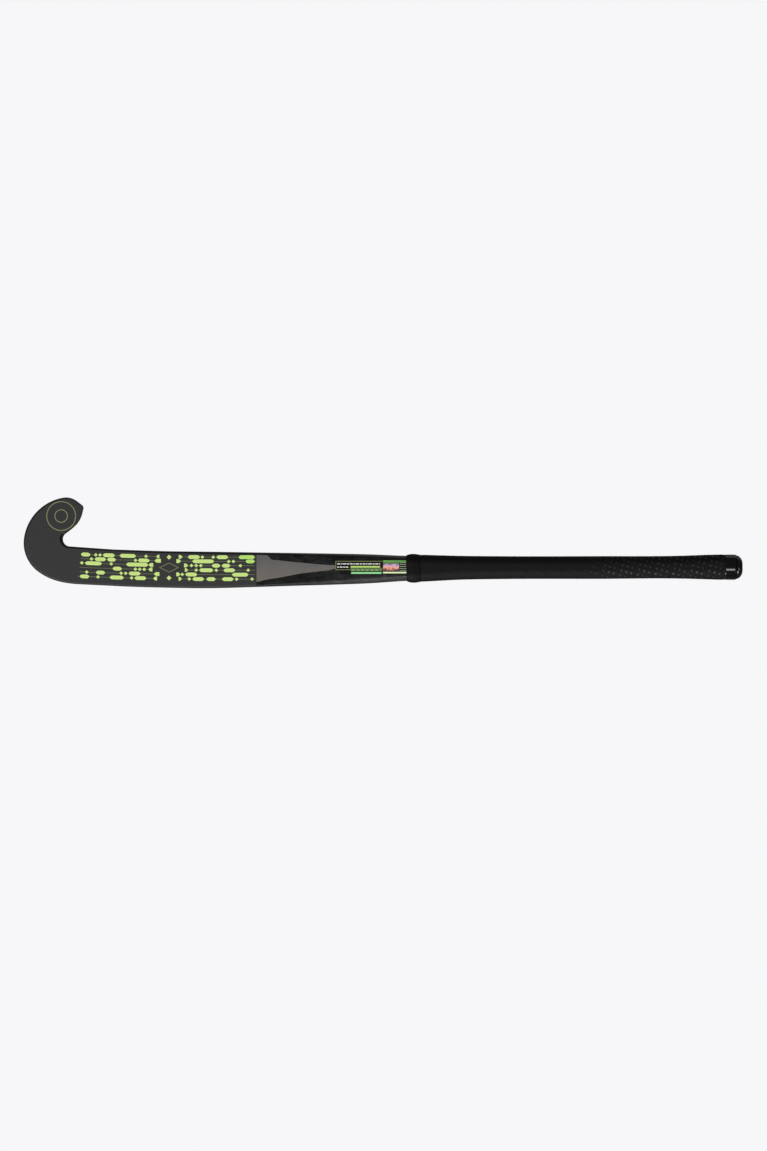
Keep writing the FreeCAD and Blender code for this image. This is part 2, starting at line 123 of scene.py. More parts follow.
def section(x):
    """Toe reach, heel reach, thickness, face corner and back corner of the shaft at each x."""
    x = np.maximum(np.asarray(x, float), PLACES[0])
    i = np.clip(np.searchsorted(PLACES, x, side="right") - 1, 0, len(PLACES) - 2)
    run = (PLACES[i + 1] - PLACES[i])[..., None]
    t = (x - PLACES[i])[..., None] / run
    sizes = (SIZES[i] * (1 + 2 * t) * (1 - t) ** 2 + SIZES[i + 1] * t ** 2 * (3 - 2 * t)
             + SLOPES[i] * run * t * (1 - t) ** 2 - SLOPES[i + 1] * run * t ** 2 * (1 - t))
    return np.moveaxis(sizes, -1, 0)


def bow(x):
    """Height of the face's middle above the head's plane: flat, then a circular bow, then straight."""
    bent = np.clip(np.asarray(x, float) - BOW_START, 0, BOW_END - BOW_START)
    return bent ** 2 / (2 * BOW_RADIUS) + np.maximum(np.asarray(x, float) - BOW_END, 0) * LEAN


def surface_z(x, y):
    """Height of the shaft's face, whose corners are round."""
    toe, heel, _, corner, _ = section(x)
    beyond = np.clip(np.maximum(y - toe + corner, -y - heel + corner), 0, corner)
    return bow(x) - corner + np.sqrt(corner ** 2 - beyond ** 2)


def hook_stations():
    """Rows of x, y, inward direction and face and back edge radii round the hook."""
    heading = math.radians(HOOK_HEADING)
    point, face, back = np.array(HOOK_START, float), HOOK[0][2], HOOK[0][3]
    stations = []
    for size, turn, next_face, next_back in HOOK:
        angle = math.radians(turn)
        if size is None:
            size = (HOOK_START[0] - point[0]) / math.cos(heading)
        length = size * abs(angle) if turn else size
        steps = math.ceil(max(length / HOOK_STEP, abs(turn) / HOOK_TURN_STEP))
        side = math.copysign(size, turn)
        centre = point + side * np.array((math.sin(heading), -math.cos(heading)))
        for t in np.arange(steps + 1) / steps:
            course = heading - angle * t
            inward = np.array((math.sin(course), -math.cos(course)))
            if turn:
                place = centre - side * inward
            else:
                place = point + t * size * np.array((math.cos(course), math.sin(course)))
            if t < 1:
                stations.append((*place, *inward, face + (next_face - face) * t,
                                 back + (next_back - back) * t))
        point, heading, face, back = place, heading - angle, next_face, next_back
    stations.append((*point, 0, -1, face, back))
    stations = np.array(stations)
    stations[0, 2:4] = 0, 1
    return stations


def stick_stations(end):
    """The same rows with thickness and base height added, from end along the heel side, round the hook
    and back to end along the toe side; and the number of rows on each side of the shaft."""
    hook = hook_stations()
    hook = np.column_stack((hook, np.full(len(hook), HEAD_THICKNESS), np.zeros(len(hook))))
    count = math.ceil((end - PLACES[0]) / SHAFT_STEP)
    x = PLACES[0] + (end - PLACES[0]) * np.arange(1, count + 1) / count
    toe, heel, thickness, face, back = section(x)
    nothing, one = np.zeros(count), np.ones(count)
    heel_side = np.column_stack((x, -heel, nothing, one, face, back, thickness, bow(x)))[::-1]
    toe_side = np.column_stack((x, toe, nothing, -one, face, back, thickness, bow(x)))
    return np.vstack((heel_side, hook, toe_side)), count


# ---------------------------------------------------------------- meshes

MERGE_DISTANCE = 1e-6               # metres
PLATE_STEP = 8                      # the most millimetres between rows of a plate, which follows the bow


def add_piece(name, points, faces, material, slot, replaces, smooth=False, tape=None):
    """A closed mesh from points in the stick's own frame, with its material and body, and for the
    tape each point's place on it. The slot is not used."""
    mesh = bpy.data.meshes.new(name)
    mesh.from_pydata(to_frame(points).tolist(), [], [list(map(int, face)) for face in faces])
    if tape is not None:
        mesh.attributes.new("tape", "FLOAT_VECTOR", "POINT").data.foreach_set("vector", tape.ravel())
    form = bmesh.new()
    form.from_mesh(mesh)
    bmesh.ops.remove_doubles(form, verts=form.verts, dist=MERGE_DISTANCE)
    bmesh.ops.recalc_face_normals(form, faces=form.faces)
    form.to_mesh(mesh)
    form.free()
    mesh.polygons.foreach_set("use_smooth", [smooth] * len(mesh.polygons))
    mesh.materials.append(material)
    piece = bpy.data.objects.new(name, mesh)
    bpy.context.scene.collection.objects.link(piece)
    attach(piece, "root")
    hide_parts(*replaces)
    return piece


def tube_faces(rings, around):
    """Quads of a tube of rings, each with so many points around, and its two end faces."""
    index = np.arange(rings * around).reshape(rings, around)
    after = np.roll(index, -1, axis=1)
    quads = np.stack((index[:-1], after[:-1], after[1:], index[1:]), axis=-1).reshape(-1, 4)
    return [*quads.tolist(), index[0].tolist(), index[-1][::-1].tolist()]


def stick_form(end, profile):
    """Points and faces of a closed form that follows the stick's outline up to end. profile gives the
    insets and heights of the points from the face down to the back at every station."""
    stations, rows = stick_stations(end)
    place, inward, base = stations[:, :2], stations[:, 2:4], stations[:, 7]
    inset, height = profile(stations)
    plan = place[:, None] + inset[..., None] * inward[:, None]
    points = np.concatenate((plan, (base[:, None] + height)[..., None]), axis=-1)
    count, levels = inset.shape
    index = np.arange(count * levels).reshape(count, levels)
    sides = np.stack((index[:-1, :-1], index[1:, :-1], index[1:, 1:], index[:-1, 1:]), axis=-1)
    faces = sides.reshape(-1, 4).tolist()
    for level in (0, levels - 1):
        edge = index[:, level]
        faces += [(edge[i], edge[i + 1], edge[count - 2 - i], edge[count - 1 - i]) for i in range(rows)]
        faces.append(edge[rows:count - rows])
    faces.append((*index[0], *index[-1][::-1]))
    return points.reshape(-1, 3), faces


def skin_profile(stations):
    """From the flat of the face over the small edge, down the side and round the large edge to the back."""
    face, back, thickness = (stations[:, column, None] for column in (4, 5, 6))
    turn = np.radians(np.linspace(0, 90, EDGE_POINTS))
    nothing = np.zeros_like(face)
    inset = np.hstack((face + SUPPORT, face * (1 - np.sin(turn)), nothing, nothing,
                       back * (1 - np.cos(turn)), back + SUPPORT))
    height = np.hstack((nothing, -face * (1 - np.cos(turn)), -face - SUPPORT, back + SUPPORT - thickness,
                        back * (1 - np.sin(turn)) - thickness, -thickness))
    return inset, height


def film_profile(stations):
    """Over the flat of the face and a little way down its edge, and back under itself. The film hardly laps
    over the toe side from the throat onwards, and stops at the edge where that is wide."""
    x, y, inward_y, face = (stations[:, column, None] for column in (0, 1, 3, 4))
    toe_side = (inward_y < TOE_FACING) & (x > THROAT_PLACE) & (y < THROAT_PLACE)
    lap = np.where(toe_side, TOE_LAP, FILM_LAP) * np.clip(1 - (face - HOOK[0][2]) / FILM_FADE, 0, 1)
    turn = np.radians(lap * np.linspace(0, 1, FILM_EDGE_POINTS))
    inset = [face - (face + radial) * np.sin(turn) for radial in (FILM_TOP, FILM_BOTTOM)]
    height = [(face + radial) * np.cos(turn) - face for radial in (FILM_TOP, FILM_BOTTOM)]
    return np.hstack((inset[0], inset[1][:, ::-1])), np.hstack((height[0], height[1][:, ::-1]))


def plate(edges, top, bottom):
    """A thin closed plate on the face: edges lists its x with the lower and upper y there."""
    rows = [edges[0]]
    for row in edges[1:]:
        steps = math.ceil((row[0] - rows[-1][0]) / PLATE_STEP)
        last = np.array(rows[-1], float)
        rows += [tuple(last + (np.array(row, float) - last) * (k + 1) / steps) for k in range(steps)]
    x, low, high = np.array(rows, float).T
    rings = [(x, y, surface_z(x, y) + level)
             for y, level in ((low, top), (high, top), (high, bottom), (low, bottom))]
    return np.moveaxis(np.array(rings), (0, 1, 2), (1, 2, 0)).reshape(-1, 3), tube_faces(len(x), 4)


def joined(parts):
    """Several closed forms as one list of points and one of faces."""
    points, faces, count = [], [], 0
    for part_points, part_faces in parts:
        points.append(part_points)
        faces += [[int(corner) + count for corner in face] for face in part_faces]
        count += len(part_points)
    return np.vstack(points), faces


# ---------------------------------------------------------------- materials


def srgb(red, green, blue):
    """Linear colour of a display colour given from 0 to 255."""
    return (*(((value / 255 + 0.055) / 1.055) ** 2.4 if value > 10 else value / 255 / 12.92
              for value in (red, green, blue)), 1)


class Paint:
    """A material on one Principled shader, and the nodes that feed it."""

    def __init__(self, name, color, roughness, **values):
        self.material = bpy.data.materials.new(name)
        self.material.use_nodes = True
        self.tree = self.material.node_tree
        self.shader = self.tree.nodes["Principled BSDF"]
        self.shader.inputs["Base Color"].default_value = color
        self.shader.inputs["Roughness"].default_value = roughness
        for label, value in values.items():
            self.shader.inputs[label.replace("_", " ").title().replace("Ior", "IOR")].default_value = value
        self.place = self.node("ShaderNodeTexCoord").outputs["Object"]

    def node(self, kind, **values):
        node = self.tree.nodes.new(kind)
        for label, value in values.items():
            setattr(node, label, value)
        return node

    def link(self, source, target):
        self.tree.links.new(source, target)

    def noise(self, scale, detail=2, distortion=0, stretch=(1, 1, 1)):
        mapping = self.node("ShaderNodeMapping")
        mapping.inputs["Scale"].default_value = stretch
        self.link(self.place, mapping.inputs["Vector"])
        noise = self.node("ShaderNodeTexNoise")
        for label, value in (("Scale", scale), ("Detail", detail), ("Distortion", distortion)):
            noise.inputs[label].default_value = value
        self.link(mapping.outputs["Vector"], noise.inputs["Vector"])
        return noise.outputs["Fac"]

    def share(self, axis, low, high):
        """A point's share of the way from one place along an axis of the frame to another, in metres."""
        place = self.node("ShaderNodeSeparateXYZ")
        self.link(self.place, place.inputs["Vector"])
        share = self.node("ShaderNodeMapRange")
        share.inputs["From Min"].default_value, share.inputs["From Max"].default_value = low, high
        self.link(place.outputs[axis], share.inputs["Value"])
        return share.outputs["Result"]

    def ramp(self, source, *stops):
        ramp = self.node("ShaderNodeValToRGB")
        elements = ramp.color_ramp.elements
        while len(elements) < len(stops):
            elements.new(1)
        for element, (place, color) in zip(elements, stops):
            element.position, element.color = place, color
        self.link(source, ramp.inputs["Fac"])
        return ramp.outputs["Color"]

    def math(self, operation, first, second=0.0, third=0.0):
        node = self.node("ShaderNodeMath", operation=operation)
        for socket, value in zip(node.inputs, (first, second, third)):
            if isinstance(value, (int, float)):
                socket.default_value = value
            else:
                self.link(value, socket)
        return node.outputs["Value"]

    def mix(self, factor, first, second):
        node = self.node("ShaderNodeMix", data_type="RGBA")
        self.link(factor, node.inputs["Factor"])
        for label, value in (("A_Color", first), ("B_Color", second)):
            socket = [s for s in node.inputs if s.identifier == label][0]
            if isinstance(value, tuple):
                socket.default_value = value
            else:
                self.link(value, socket)
        return [s for s in node.outputs if s.identifier == "Result_Color"][0]

    def bump(self, source, strength, depth_mm):
        bump = self.node("ShaderNodeBump")
        bump.inputs["Strength"].default_value = strength
        bump.inputs["Distance"].default_value = depth_mm * 0.001
        self.link(source, bump.inputs["Height"])
        self.link(bump.outputs["Normal"], self.shader.inputs["Normal"])

    def color(self, source):
        self.link(source, self.shader.inputs["Base Color"])

    def bands(self, span, cloud, amount, *stops):
        """Bands of colour along the stick, between two places across it in metres, stirred by a noise."""
        stir = self.math("MULTIPLY_ADD", cloud, amount, -amount / 2)
        self.color(self.ramp(self.math("ADD", self.share("Y", *span), stir), *stops))


def grey(value):
    """A faintly cool grey."""
    return (value, value, value * 1.02, 1)


# Places along and across the frame, in metres, between which a colour changes.
WEDGE_SPAN, STICKER_SPAN = (-0.0505, -0.0155), (-0.0364, -0.0254)
PAINTED_SHEEN_ALONG, PAINTED_SHEEN_ACROSS = (-0.11, -0.02), (-0.036, -0.046)

# The carbon is marbled, and painted lighter on its heel side towards the grip: a painted sheen of the light
# that falls from the heel side.
carbon = Paint("carbon_skin", grey(0.012), 0.17)
marble = carbon.noise(60, detail=6, distortion=1.6, stretch=(1, 1.6, 1))
clouded = carbon.ramp(marble, (0.35, grey(0.004)), (0.55, grey(0.011)), (0.72, grey(0.024)))
# Painted sheen: a lighter marble for the heel side towards the grip.
painted_sheen = carbon.ramp(marble, (0.3, grey(0.014)), (0.55, grey(0.026)), (0.75, (0.06, 0.055, 0.05, 1)))
painted_sheen_share = carbon.math("MULTIPLY", carbon.share("X", *PAINTED_SHEEN_ALONG), carbon.share("Y", *PAINTED_SHEEN_ACROSS))
carbon.color(carbon.mix(painted_sheen_share, clouded, painted_sheen))

charcoal = Paint("matte_charcoal", grey(0.04), 0.6, specular_ior_level=0.25)
grain = charcoal.noise(1600, detail=1)
charcoal.color(charcoal.ramp(grain, (0.35, grey(0.026)), (0.65, grey(0.04))))
charcoal.bump(grain, 0.25, 0.05)

# The grey wedge is a print, and its grey also stands in for the reflection of an overhead light on the
# face's narrowing facet: a painted reflection, painted lighter towards the heel side.
wedge_grey_and_sheen = Paint("satin_grey", srgb(98, 95, 92), 0.42)
wedge_grey_and_sheen.bands(WEDGE_SPAN, wedge_grey_and_sheen.noise(45, detail=2), 0.9, (0.1, srgb(112, 105, 97)),
                 (0.5, srgb(104, 101, 98)), (0.95, srgb(90, 91, 93)))

INK_ROUGHNESS, PRINT_ROUGHNESS = 0.5, 0.12      # on the matte face, and on the glossy shaft
lime = Paint("lime_ink", srgb(204, 231, 134), INK_ROUGHNESS)
green_lime = Paint("green_lime_ink", srgb(184, 227, 116), INK_ROUGHNESS)
olive = Paint("olive_ink", srgb(110, 120, 82), INK_ROUGHNESS)
emblem_olive = Paint("emblem_ink", srgb(148, 152, 102), INK_ROUGHNESS)
label_white = Paint("label_white", srgb(228, 229, 225), PRINT_ROUGHNESS)
label_olive = Paint("label_olive", srgb(134, 146, 90), PRINT_ROUGHNESS)
label_black = Paint("label_black", grey(0.006), PRINT_ROUGHNESS)
bar_yellow = Paint("bar_yellow", srgb(194, 226, 126), PRINT_ROUGHNESS)
bar_olive = Paint("bar_olive", srgb(92, 118, 70), PRINT_ROUGHNESS)
bar_dash = Paint("bar_dash", srgb(158, 190, 128), PRINT_ROUGHNESS)
bar_mint = Paint("bar_mint", srgb(160, 234, 164), PRINT_ROUGHNESS)
bar_green = Paint("bar_green", srgb(116, 180, 94), PRINT_ROUGHNESS)
bar_light = Paint("bar_light", srgb(238, 254, 196), PRINT_ROUGHNESS)
stripe_grey = Paint("stripe_grey", srgb(146, 162, 130), PRINT_ROUGHNESS)

sticker = Paint("iridescent_film", srgb(210, 120, 190), 0.15)
sticker.bands(STICKER_SPAN, sticker.noise(240, detail=1), 0.8, (0.02, srgb(90, 80, 84)),
              (0.16, srgb(150, 96, 98)), (0.3, srgb(226, 148, 108)), (0.42, srgb(248, 188, 160)),
              (0.54, srgb(236, 158, 192)), (0.66, srgb(210, 176, 212)), (0.79, srgb(126, 126, 152)),
              (0.93, srgb(108, 130, 92)))

gloss_black = Paint("gloss_black", grey(0.002), 0.12)
rubber = Paint("end_band", grey(0.004), 0.65, specular_ior_level=0.12)
rubber.bump(rubber.noise(700), 0.3, 0.1)
foam = Paint("foam", (0.82, 0.74, 0.55, 1), 0.9)
tube_carbon = Paint("carbon_tube", grey(0.05), 0.4)
cushion = Paint("cushion_tape", grey(0.2), 0.85)

# The grip's paint reads each point's place on the flat tape, in millimetres: along it, across it, and the
# distance from the heel. The dots are painted lighter than the tape, a painted sheen of the light they
# catch, and this painted sheen fades out over the grip's lower part, away from the key light.
DOT_PITCH, DOT_ACROSS, DOT_RADIUS = 7, (7.4, 14.1, 20.8), 1.5
DOT_FADE = (1.2, 0.5)               # where a dot starts and where it is full, in radii
# The dots' painted sheen fades in between these places along the grip; the least share stays below them.
DULL_DOTS_END, LIT_DOTS_START, DULL_DOT_SHARE = 715, 770, 0.05
TAPE_GREY, TAPE_SPECULAR, TAPE_ROUGHNESS = grey(0.0045), 0.16, 0.72
DOT_SHEEN_GREY, DOT_SPECULAR, DOT_ROUGHNESS = grey(0.014), 0.46, 0.45
grip_black = Paint("grip_tape", TAPE_GREY, TAPE_ROUGHNESS, specular_ior_level=TAPE_SPECULAR)
tape_place = grip_black.node("ShaderNodeSeparateXYZ")
grip_black.link(grip_black.node("ShaderNodeAttribute", attribute_name="tape").outputs["Vector"],
                tape_place.inputs["Vector"])
along_dot = grip_black.math("PINGPONG", tape_place.outputs["X"], DOT_PITCH / 2)
across_dot = grip_black.math("ABSOLUTE", grip_black.math("SUBTRACT", tape_place.outputs["Y"], DOT_ACROSS[1]))
row_gap = DOT_ACROSS[1] - DOT_ACROSS[0]
across_dot = grip_black.math("MINIMUM", across_dot,
                             grip_black.math("ABSOLUTE", grip_black.math("SUBTRACT", across_dot, row_gap)))
to_dot = grip_black.math("SQRT", grip_black.math("ADD", grip_black.math("POWER", along_dot, 2.0),
                                                 grip_black.math("POWER", across_dot, 2.0)))
dot = grip_black.node("ShaderNodeMapRange", interpolation_type="SMOOTHSTEP")
for label, radii in zip(("From Min", "From Max"), DOT_FADE):
    dot.inputs[label].default_value = DOT_RADIUS * radii
grip_black.link(to_dot, dot.inputs["Value"])
dot_light_fade = grip_black.node("ShaderNodeMapRange", interpolation_type="SMOOTHSTEP")
for label, value in (("From Min", DULL_DOTS_END), ("From Max", LIT_DOTS_START), ("To Min", DULL_DOT_SHARE)):
    dot_light_fade.inputs[label].default_value = value
grip_black.link(tape_place.outputs["Z"], dot_light_fade.inputs["Value"])
lit_dot_share = grip_black.math("MULTIPLY", dot.outputs["Result"], dot_light_fade.outputs["Result"])
# Painted sheen: the dots are a lighter grey where they catch the light.
grip_black.color(grip_black.mix(lit_dot_share, TAPE_GREY, DOT_SHEEN_GREY))
for label, of_tape, of_dot in (("Specular IOR Level", TAPE_SPECULAR, DOT_SPECULAR),
                               ("Roughness", TAPE_ROUGHNESS, DOT_ROUGHNESS)):
    grip_black.link(grip_black.math("MULTIPLY_ADD", lit_dot_share, of_dot - of_tape, of_tape),
                    grip_black.shader.inputs[label])
grip_black.bump(grip_black.noise(900, detail=3), 0.35, 0.12)

# ---------------------------------------------------------------- skin and face film

FILM_TOP, WEDGE_TOP, FILM_BOTTOM = 0.15, 0.1, -0.1      # from the skin
FILM_LAP, TOE_LAP, FILM_FADE = 30, 5, 2.2   # degrees down the edge; the extra edge radius where that is none
FILM_EDGE_POINTS = 5
TOE_FACING, THROAT_PLACE = -0.3, PLACES[0] / 3      # the inward y and the place that mark the toe side
FACE_PRINT_END = 299.5

add_piece("skin", *stick_form(SHELL_END, skin_profile), carbon.material, "carbon_skin", ["outer_shell"],
          smooth=True)
add_piece("face_coating", *stick_form(FACE_PRINT_END, film_profile), charcoal.material, "matte_charcoal",
          ["face_print"])

# The wedge's edges: x with the lower and upper y there.
WEDGE = ((299.7, -19, 16), (313.5, -15.7, 15.7), (319.5, -14.7, 9.6), (327, -13.7, 9.1), (340, -11.2, 7.6),
         (358, -7.8, 5.9), (384, -4.8, 3.4), (392, -4, 3), (401.2, -1.7, 2.5))
add_piece("grey_wedge", *plate(WEDGE, WEDGE_TOP, FILM_BOTTOM), wedge_grey_and_sheen.material, "satin_grey",
          ["wedge_decal"])

# ---------------------------------------------------------------- pattern on the face

INK_TOP, LINE_TOP, INK_BOTTOM = 0.24, 0.19, 0.05       # from the skin
ROW_BEND, ROW_ORIGIN, ROW_LEVEL = 1e-4, 79, 265      # the rows fall from their origin and level out
PILL_HALF, DIAMOND_HALF, LINE_HALF = 2.45, 2.3, 0.3
PILL_END = ((0, 0), (0.7, 1), (2, 2.1), (2.9, PILL_HALF))       # distance from the tip, half width
DIAMOND_BLUNT = (0.85, 0.5)                                     # share of the way to a tip, half width there
LINE_ROWS = 8
GAP_CENTRE, GAP_DIAMOND_HALF, GAP_DIAMOND_HEIGHTS = 187, 3.1, (15.9, -10.9)

# Rows of the pattern: height at the row's origin, pills, diamonds, and the plain line's two ends.
ROWS = (
    (16.45, ((73.3, 85.6), (101.6, 117), (123.3, 144.3), (211.2, 227), (248, 263.2)),
     (92.5, 98, 157.3, 230, 244), (73.5, 276)),
    (11, ((91, 105.7), (107.2, 118.5), (146.8, 162), (217, 245)), (87, 143.8, 264, 270), (73, 285)),
    (5.5, ((78.6, 100.3), (131.8, 160), (242.2, 253), (255, 266)), (74.5, 112.4, 216, 222, 228, 279),
     (75, 297.5)),
    (-0.4, ((114.2, 126.2), (226, 244), (257.2, 272.2)), (143.6, 149.2, 155, 222, 248, 289), (71.5, 297.5)),
    (-6.1, ((92.6, 104.5), (134.8, 150.2), (208, 223.2), (268.2, 289.2)), (80.8, 125.2, 131, 204),
     (71.5, 297.5)),
    (-11.85, ((71.8, 84.2), (110.3, 128.6), (142.4, 157.6), (217.2, 232.2), (235.2, 247.2), (255.2, 270.2)),
     (95.4, 138.7, 213, 274.2, 294), (68.5, 297.5)),
)
GREEN_PILLS = ((16.45, (276.6, 297.6)), (11, (285.6, 297.6)))
# Where each row's last pill before the middle gap starts and is cut, and where its first pill after the gap
# is cut and ends.
GAP_CUTS = ((170.5, 174.5, 199.5, 204.3), (168.5, 176.5, 196.5, 202.3), (160.6, 166.6, 206.4, 211.4),
            (160.4, 165.6, 207.4, 211.4), (167.6, 174.6, 196.4, 201.4), (166.6, 171.6, 199.4, 203.4))


def row_y(height, x):
    """Where a row runs at x, from its height at its origin."""
    return height + ROW_BEND * ((ROW_LEVEL - x) ** 2 - (ROW_LEVEL - ROW_ORIGIN) ** 2)


def pill(height, start, end, cut_start=False, cut_end=False):
    """A pill with pointed ends, or with a straight cut for an end."""
    first = [(start, PILL_HALF)] if cut_start else [(start + run, half) for run, half in PILL_END]
    last = [(end, PILL_HALF)] if cut_end else [(end - run, half) for run, half in reversed(PILL_END)]
    if cut_start or cut_end:
        length = end - start
        first = [(x, half) for x, half in first if x - start <= length]
        last = [(x, half) for x, half in last if end - x <= length and x > first[-1][0]]
    return plate([(x, row_y(height, x) - half, row_y(height, x) + half) for x, half in first + last],
                 INK_TOP, INK_BOTTOM)


def diamond(height, x, size=DIAMOND_HALF):
    """A diamond whose tips along the row are a little blunt."""
    y, (share, blunt) = row_y(height, x), DIAMOND_BLUNT
    return plate([(x + step * size, y - half, y + half)
                  for step, half in ((-1, 0), (-share, blunt), (0, size), (share, blunt), (1, 0))],
                 INK_TOP, INK_BOTTOM)


def thin_line(height, start, end):
    """The fine line that a row's pieces are strung on."""
    return plate([(x, row_y(height, x) - LINE_HALF, row_y(height, x) + LINE_HALF)
                  for x in np.linspace(start, end, LINE_ROWS)], LINE_TOP, INK_BOTTOM)


lime_parts, line_parts = [], []
for (height, pills, diamonds, (start, end)), cuts in zip(ROWS, GAP_CUTS):
    lime_parts += [pill(height, *span) for span in pills] + [diamond(height, x) for x in diamonds]
    lime_parts += [pill(height, *cuts[:2], cut_end=True), pill(height, *cuts[2:], cut_start=True)]
    line_parts += [thin_line(height, start, cuts[0]), thin_line(height, cuts[3], end)]
lime_parts += [diamond(height, GAP_CENTRE, GAP_DIAMOND_HALF) for height in GAP_DIAMOND_HEIGHTS]
add_piece("pattern_lime", *joined(lime_parts), lime.material, "lime_ink", ["pattern_decal"])
add_piece("pattern_green", *joined([pill(height, *span) for height, span in GREEN_PILLS]),
          green_lime.material, "lime_ink", ["pattern_decal"])

# A plain lozenge outline between two small diamonds stands in the pattern's middle gap.
LOZENGE_X, LOZENGE_Y, LOZENGE_LINE, LOZENGE_HEIGHT = 13, 6.5, 1.1, 2.5
middle_y = row_y(LOZENGE_HEIGHT, GAP_CENTRE)


def lozenge_side(side):
    """Half of the lozenge's outline, above or below its long axis."""
    share = 1 - LOZENGE_LINE / LOZENGE_Y
    rows = []
    for x in (-LOZENGE_X, -LOZENGE_X * share, 0, LOZENGE_X * share, LOZENGE_X):
        far = LOZENGE_Y * (1 - abs(x) / LOZENGE_X)
        near = max(0, LOZENGE_Y * (share - abs(x) / LOZENGE_X))
        low, high = sorted((side * near, side * far))
        rows.append((GAP_CENTRE + x, middle_y + low, middle_y + high))
    return plate(rows, INK_TOP, INK_BOTTOM)


line_parts += [lozenge_side(1), lozenge_side(-1)]
add_piece("pattern_lines", *joined(line_parts), olive.material, "lime_ink", ["pattern_decal"])

# ---------------------------------------------------------------- emblem on the toe

EMBLEM_CENTRE, EMBLEM_RADII, EMBLEM_LINE = (47.9, 66), (19, 8.5), 0.85


def ring(radius, sides=72):
    """A thin ring on the head's flat."""
    inner = radius - EMBLEM_LINE
    turn = np.arange(sides + 1) * 2 * math.pi / sides
    spoke = np.column_stack((np.cos(turn), np.sin(turn)))
    corners = ((radius, INK_TOP), (inner, INK_TOP), (inner, INK_BOTTOM), (radius, INK_BOTTOM))
    points = np.stack([np.column_stack((spoke * reach + EMBLEM_CENTRE, np.full(sides + 1, level)))
                       for reach, level in corners], axis=1)
    return points.reshape(-1, 3), tube_faces(sides + 1, 4)[:-2]


add_piece("toe_rings", *joined([ring(radius) for radius in EMBLEM_RADII]), emblem_olive.material,
          "olive_ink", ["toe_emblem"])

# ---------------------------------------------------------------- label, bars and sticker below the grip

PRINT_TOP, DASH_TOP, PRINT_BOTTOM = 0.12, 0.16, -0.1    # from the skin
STRIPE_HALF, STRIPE_MIDDLES = 0.45, (5.9, 3.7, 1.1, -1.6, -4.2)


def bar(start, end, low, high, top=PRINT_TOP):
    """A printed bar along the stick."""
    return plate(((start, low, high), (end, low, high)), top, PRINT_BOTTOM)


def dashes(start, end, y, half, lengths, gap):
    """A line of generic dashes in place of print."""
    parts, x, number = [], start, 0
    while x < end:
        length = lengths[number % len(lengths)]
        parts.append(bar(x, min(x + length, end), y - half, y + half, DASH_TOP))
        x += length + gap
        number += 1
    return parts


add_piece("label_field", *joined([bar(402, 461.3, 2, 7.4), bar(402, 419.6, -2.8, 2)]), label_black.material,
          "label_ink", ["spec_label"])
add_piece("label_outline", *joined([bar(401.3, 461.3, 7.4, 8.1), bar(401.3, 419.6, -3.5, -2.8),
                                    bar(401.3, 402, -2.8, 7.4)]),
          label_olive.material, "label_ink", ["spec_label"])
add_piece("label_dashes", *joined(dashes(403.4, 459, 4.4, 0.7, (3.6, 1.7, 4.8, 2.6), 0.9)
                                  + dashes(403.4, 418, 0.3, 0.7, (2.4, 3.4), 0.9)),
          label_white.material, "label_ink", ["spec_label"])
add_piece("yellow_bar", *bar(420.7, 458.4, -0.4, 1.7), bar_yellow.material, "green_ink", ["stripe_decal"])
add_piece("olive_band", *bar(420.3, 461.4, -4.9, -0.6), bar_olive.material, "green_ink", ["stripe_decal"])
add_piece("band_dashes", *joined(dashes(422, 459, -3.5, 0.6, (4,), 2)), bar_dash.material, "green_ink",
          ["stripe_decal"])
add_piece("mint_bar", *bar(421.5, 460.2, -8.4, -6.2), bar_mint.material, "green_ink", ["stripe_decal"])
add_piece("green_bar", *bar(462.2, 492.9, 6.6, 9), bar_green.material, "green_ink", ["stripe_decal"])
add_piece("light_bar", *bar(462.2, 493.4, -7.8, -5.9), bar_light.material, "green_ink", ["stripe_decal"])
add_piece("grip_stripes",
          *joined([bar(483.4, 493.4, y - STRIPE_HALF, y + STRIPE_HALF) for y in STRIPE_MIDDLES]),
          stripe_grey.material, "green_ink", ["stripe_decal"])
add_piece("shimmer_sticker", *bar(462.4, 482.6, -4.6, 6.4), sticker.material, "iridescent_film",
          ["security_sticker"])

# ---------------------------------------------------------------- grip

GRIP_START, GRIP_END = 497, 901.5
UNDERLAY = 0.6
PITCH, TAPE_WIDTH, TAPE_REACH = 22.5, 28, 29        # the tape's own width and its reach along the handle
TAPE_THICKNESS, TAPE_EDGE, TAPE_SKIVE = 1.4, 0.1, 7
TAPE_END, LEAST_TAPE = 1, 0.3                       # its width at the grip's two ends, its least thickness
ROWS_PER_TURN, COLUMNS = 64, 21
DIMPLE_DEPTH, DIMPLE_WIDTH = 0.35, 1.3
# The tape is pressed down to a thickness up to the rim's end and close to the collar, and rises from there.
RIM_END, COLLAR_PRESS, TAPE_UNDER_BANDS, PRESS_SLOPE = 512.6, 3, 1.1, 0.15
BAND_SIDES = 96                                     # of the round bands at the grip's ends, and the cap


